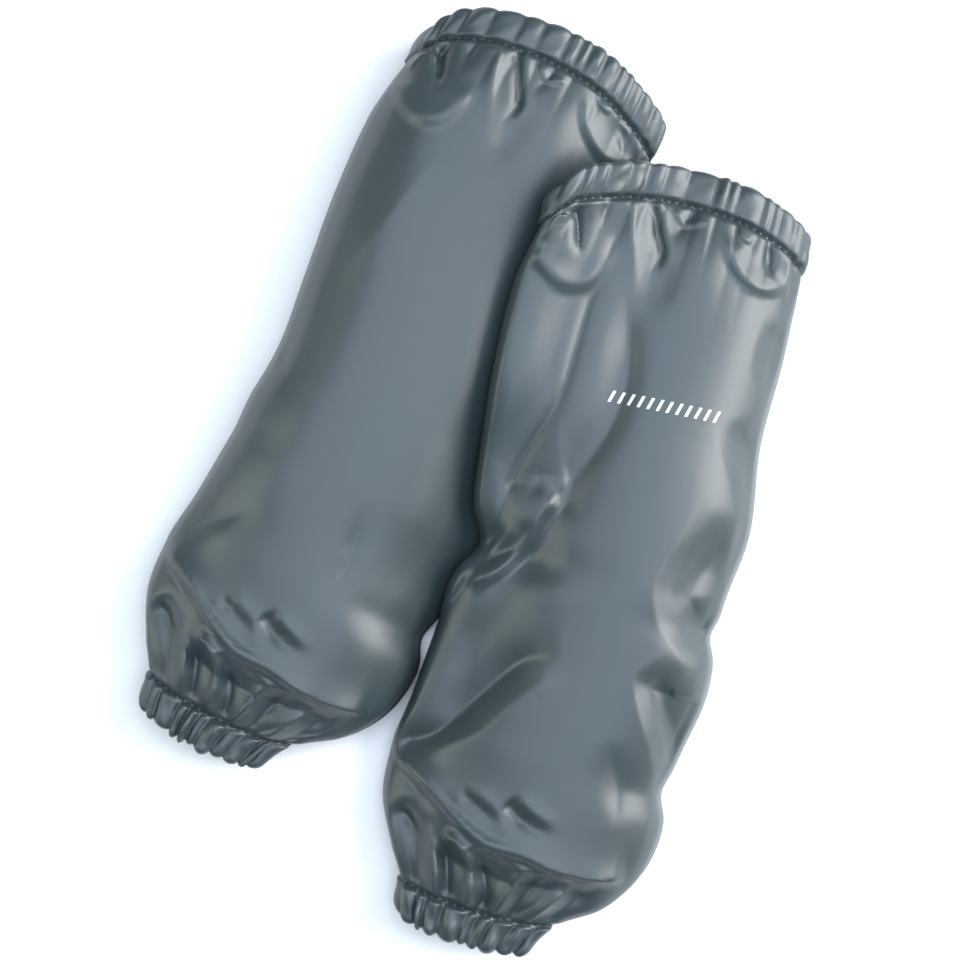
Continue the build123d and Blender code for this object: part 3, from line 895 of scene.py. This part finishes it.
class OBJECT_OT_gaiter_elastics(bpy.types.Operator):
    """Make the elastic rings in the hems"""
    bl_idname = "gaiters.elastics"
    bl_label = "Elastics"

    def execute(self, context):
        hems = context.scene.gaiter_hems
        cloth = context.scene.gaiter_cloth
        u, over, around = ring_places(cloth.upper, cloth.lower)
        for side in SIDES:
            for name, rim, sew, cuff in hem_parts():
                stations = hem_stations(rim, sew, 2.0, 3.4, 12)
                points = to_frame(side, wall(side, stations, u, over, around, ELASTIC_AT))
                piece = grid_object(side + "_" + name + "_elastic_band", points, True, (0.33, 0.018))
                dress(piece, "elastic")
                thicken(piece, hems.elastic)
                hang(piece, side, side + "_" + name + "_elastic", cuff)
        return {"FINISHED"}


def surface_under(piece):
    """A finder of places on a piece's surface."""
    graph = bpy.context.evaluated_depsgraph_get()
    return BVHTree.FromObject(piece, graph)


def drop_on(tree, x, y, lift):
    """The place on the cloth at x, y, raised by lift."""
    hit = tree.ray_cast(Vector((x, y, 0.2)), Vector((0, 0, -1)))[0]
    if hit is None:
        raise RuntimeError("no cloth under the place")
    return hit + Vector((0, 0, lift))


class OBJECT_OT_gaiter_stitching(bpy.types.Operator):
    """Make the lockstitch rows of the hems, stitch by stitch"""
    bl_idname = "gaiters.stitching"
    bl_label = "Stitching"

    def execute(self, context):
        hems = context.scene.gaiter_hems
        u, over, around = ring_places(240, 240)
        for side in SIDES:
            for name, _, sew, cuff in hem_parts():
                line = to_frame(side, wall(side, np.full((1, 1), sew), u, over, around, 0.4))[0]
                closed = np.vstack([line, line[:1]])
                run = np.concatenate([[0], np.cumsum(np.linalg.norm(np.diff(closed, axis=0), axis=1))])
                count = int(round(run[-1] / hems.pitch))
                made = []
                for i in range(count):
                    ends = [np.array([np.interp(at, run, closed[:, k]) for k in range(3)])
                            for at in ((i + 0.5) * hems.pitch - hems.stitch / 2,
                                       (i + 0.5) * hems.pitch + hems.stitch / 2)]
                    a, b = Vector(ends[0]), Vector(ends[1])
                    bpy.ops.mesh.primitive_uv_sphere_add(segments=8, ring_count=6, radius=hems.thread / 2,
                                                         location=(a + b) / 2)
                    one = context.object
                    stretch = (b - a).length / hems.thread
                    one.scale = (1, 1, stretch)
                    one.rotation_euler = (b - a).to_track_quat("Z", "Y").to_euler()
                    made.append(one)
                bpy.ops.object.select_all(action="DESELECT")
                for one in made:
                    one.select_set(True)
                context.view_layer.objects.active = made[0]
                bpy.ops.object.join()
                piece = context.object
                piece.name = piece.data.name = side + "_" + name + "_stitches"
                bpy.ops.object.transform_apply(location=True, rotation=True, scale=True)
                bpy.ops.object.shade_smooth()
                dress(piece, "thread")
                hang(piece, side, side + "_" + name + "_stitching", cuff)
        return {"FINISHED"}


class OBJECT_OT_gaiter_print(bpy.types.Operator):
    """Make the row of printed bars on the front gaiter"""
    bl_idname = "gaiters.print"
    bl_label = "Printed bars"

    def execute(self, context):
        tree = surface_under(bpy.data.objects["front_shell_cloth"])
        origin = origin_of("front")[0]
        turn = math.radians(PRINT_TURN)
        made = []
        for index in range(PRINT_BARS):
            bpy.ops.object.select_all(action="DESELECT")
            bpy.ops.mesh.primitive_grid_add(x_subdivisions=4, y_subdivisions=9, size=1.0)
            bar = context.object
            for vertex in bar.data.vertices:
                up = vertex.co.y * PRINT_HEIGHT
                out = (index - (PRINT_BARS - 1) / 2) * PRINT_PITCH + vertex.co.x * PRINT_WIDTH
                out += PRINT_SLANT * vertex.co.y
                x = PRINT_AT[0] + out * math.cos(turn) - up * math.sin(turn)
                y = PRINT_AT[1] + out * math.sin(turn) + up * math.cos(turn)
                vertex.co = drop_on(tree, origin.x + x * MM, origin.y + y * MM, PRINT_LIFT * MM)
            made.append(bar)
        bpy.ops.object.select_all(action="DESELECT")
        for bar in made:
            bar.select_set(True)
        context.view_layer.objects.active = made[0]
        bpy.ops.object.join()
        piece = context.object
        piece.name = piece.data.name = "front_printed_bars"
        dress(piece, "ink")
        thicken(piece, PRINT_DEEP * MM)
        bpy.ops.object.shade_smooth()
        hang(piece, "front", "front_print")
        return {"FINISHED"}


class OBJECT_OT_gaiter_tapes(bpy.types.Operator):
    """Make the tapes that seal the side seams, and the sewn laps that close the elastics"""
    bl_idname = "gaiters.tapes"
    bl_label = "Seam tapes and laps"

    def execute(self, context):
        for side in SIDES:
            stations = np.linspace(*TAPE_ENDS, 90)[:, None]
            right = through(STATIONS, stations)[1]
            u = place_across(right - TAPE_INSET - np.linspace(0, TAPE_WIDTH, 9), stations)
            points = to_frame(side, wall(side, stations, u, 0.0, UNDERNEATH, TAPE_AT))
            piece = grid_object(side + "_tape", points, False,
                                (TAPE_WIDTH * MM, (TAPE_ENDS[1] - TAPE_ENDS[0]) * MM))
            dress(piece, "tape")
            thicken(piece, TAPE_DEEP * MM)
            hang(piece, side, side + "_seam_tape")
            for name, rim, sew, cuff in hem_parts():
                middle = LAP_AT[side] if name == "top" else 0.0
                stations = hem_stations(rim, sew, 3.0, 4.0, 12)
                u = place_across(middle + np.linspace(LAP_LENGTH / 2, -LAP_LENGTH / 2, 12), stations)
                around = UNDERNEATH - u / 4
                points = to_frame(side, wall(side, stations, u, 0.0, around, LAP_AT_DEPTH))
                piece = grid_object(side + "_" + name + "_lap", points, False,
                                    (LAP_LENGTH * MM, LAP_WIDTH * MM))
                dress(piece, "elastic")
                thicken(piece, LAP_DEEP * MM)
                hang(piece, side, side + "_" + name + "_elastic_join", cuff)
        return {"FINISHED"}


# ---------------------------------------------------------------- stage
def light_world(world, right):
    """A dim studio: walls that are lighter to the right and overhead, darker at both ends."""
    world.use_nodes = True
    tree = world.node_tree
    shader = tree.nodes["Background"]
    place = add(tree, "ShaderNodeTexCoord")
    side = add(tree, "ShaderNodeVectorMath", [(0, place.outputs["Generated"])], operation="DOT_PRODUCT")
    side.inputs[1].default_value = right
    high = add(tree, "ShaderNodeSeparateXYZ", [("Vector", place.outputs["Generated"])])
    sideways = add(tree, "ShaderNodeMapRange", [("Value", side.outputs["Value"])],
                   From_Min=-1.0, From_Max=1.0, To_Min=-0.05, To_Max=0.16)
    spread = add(tree, "ShaderNodeMath", [(0, side.outputs["Value"])], operation="ABSOLUTE")
    walls = add(tree, "ShaderNodeMath", [(0, spread.outputs[0])], operation="MULTIPLY_ADD")
    walls.inputs[1].default_value = 0.26
    walls.inputs[2].default_value = 0.04
    up = add(tree, "ShaderNodeMath", [(0, high.outputs["Z"])], operation="MULTIPLY_ADD", use_clamp=True)
    up.inputs[1].default_value = 0.22
    up.inputs[2].default_value = 0.0
    part = add(tree, "ShaderNodeMath", [(0, walls.outputs[0]), (1, sideways.outputs["Result"])],
               operation="ADD")
    total = add(tree, "ShaderNodeMath", [(0, part.outputs[0]), (1, up.outputs[0])], operation="ADD")
    shader.inputs["Color"].default_value = linear("#dfe4e8")
    tree.links.new(total.outputs[0], shader.inputs["Strength"])


VIEW_TURN = 16.1                      # degrees that the view's upright is turned from +Y
VIEW_MIDDLE = (-68.0, 33.0, 0.0)      # from the front gaiter's middle to the view's, in mm
VIEW_HIGH = 1.75                      # metres of the camera over the floor
VIEW_LEVEL, VIEW_WIDE = 0.036, 0.536  # the view is this wide at this height, in metres


class OBJECT_OT_gaiter_stage(bpy.types.Operator):
    """Make the floor, the lights and the camera"""
    bl_idname = "gaiters.stage"
    bl_label = "Stage"

    def execute(self, context):
        bpy.ops.object.select_all(action="DESELECT")
        bpy.ops.mesh.primitive_plane_add(size=12.0, location=(0, 0, 0))
        floor = bpy.context.object
        floor.name = "floor"
        paint, _, shader = new_material("matt_painted_board")
        shader.inputs["Base Color"].default_value = linear("#fbfbfb")
        shader.inputs["Roughness"].default_value = 0.9
        floor.data.materials.append(paint)

        world = bpy.data.worlds.new("studio")
        context.scene.world = world
        front = origin_of("front")[0]
        turn = math.radians(VIEW_TURN)
        up = Vector((-math.sin(turn), math.cos(turn), 0))
        right = Vector((math.cos(turn), math.sin(turn), 0))
        aim = front + Vector(VIEW_MIDDLE) * MM
        light_world(world, right)

        def light(name, place, size, power, colour):
            """A softbox at a place, aimed at the gaiters."""
            data = bpy.data.lights.new(name, "AREA")
            data.shape = "RECTANGLE"
            data.size, data.size_y = size
            data.energy = power
            data.color = linear(colour)[:3]
            lamp = bpy.data.objects.new(name, data)
            context.collection.objects.link(lamp)
            lamp.location = place
            lamp.rotation_euler = (place - aim).to_track_quat("Z", "Y").to_euler()

        high = Vector((0, 0, 1))
        light("softbox_right", aim + right * 1.7 + high * 0.95 + up * 0.25, (1.5, 1.5), 64, "#ffffff")
        light("softbox_top", aim + high * 2.4 + up * 0.1 + right * 0.1, (3.0, 2.2), 64, "#d8e6fa")
        light("fill_left", aim - right * 1.8 + high * 1.0 + up * 0.1, (1.2, 1.4), 16, "#eaf2e8")

        data = bpy.data.cameras.new("camera")
        data.sensor_fit = "HORIZONTAL"
        data.sensor_width = 36.0
        data.lens = data.sensor_width * (VIEW_HIGH - VIEW_LEVEL) / VIEW_WIDE
        camera = bpy.data.objects.new("camera", data)
        context.collection.objects.link(camera)
        camera.location = aim + high * VIEW_HIGH
        camera.rotation_euler = (0, 0, turn)
        context.scene.camera = camera
        context.scene.view_settings.view_transform = "Standard"
        return {"FINISHED"}


class VIEW3D_PT_gaiters(bpy.types.Panel):
    """Settings and pieces of the gaiters"""
    bl_label = "Gaiters"
    bl_space_type = "VIEW_3D"
    bl_region_type = "UI"
    bl_category = "Gaiters"

    def draw(self, context):
        scene = context.scene
        for settings in (scene.gaiter_cloth, scene.gaiter_hems, scene.gaiter_colours):
            for name in type(settings).__annotations__:
                self.layout.prop(settings, name)
        for operator in OPERATORS:
            self.layout.operator(operator.bl_idname)


OPERATORS = (OBJECT_OT_gaiter_shells, OBJECT_OT_gaiter_facings, OBJECT_OT_gaiter_elastics,
             OBJECT_OT_gaiter_tapes, OBJECT_OT_gaiter_stitching, OBJECT_OT_gaiter_print,
             OBJECT_OT_gaiter_stage)
CLASSES = (GaiterCloth, GaiterHems, GaiterColours) + OPERATORS + (VIEW3D_PT_gaiters,)


def register():
    """Adds the operators, the panel and the settings."""
    for kind in CLASSES:
        bpy.utils.register_class(kind)
    bpy.types.Scene.gaiter_cloth = PointerProperty(type=GaiterCloth)
    bpy.types.Scene.gaiter_hems = PointerProperty(type=GaiterHems)
    bpy.types.Scene.gaiter_colours = PointerProperty(type=GaiterColours)


def unregister():
    """Takes them away again."""
    del bpy.types.Scene.gaiter_cloth
    del bpy.types.Scene.gaiter_hems
    del bpy.types.Scene.gaiter_colours
    for kind in reversed(CLASSES):
        bpy.utils.unregister_class(kind)


def main():
    """Builds everything."""
    register()
    bpy.ops.gaiters.shells()
    bpy.ops.gaiters.facings()
    bpy.ops.gaiters.elastics()
    bpy.ops.gaiters.tapes()
    bpy.ops.gaiters.stitching()
    bpy.ops.gaiters.print()
    bpy.ops.gaiters.stage()


if __name__ == "__main__":
    main()
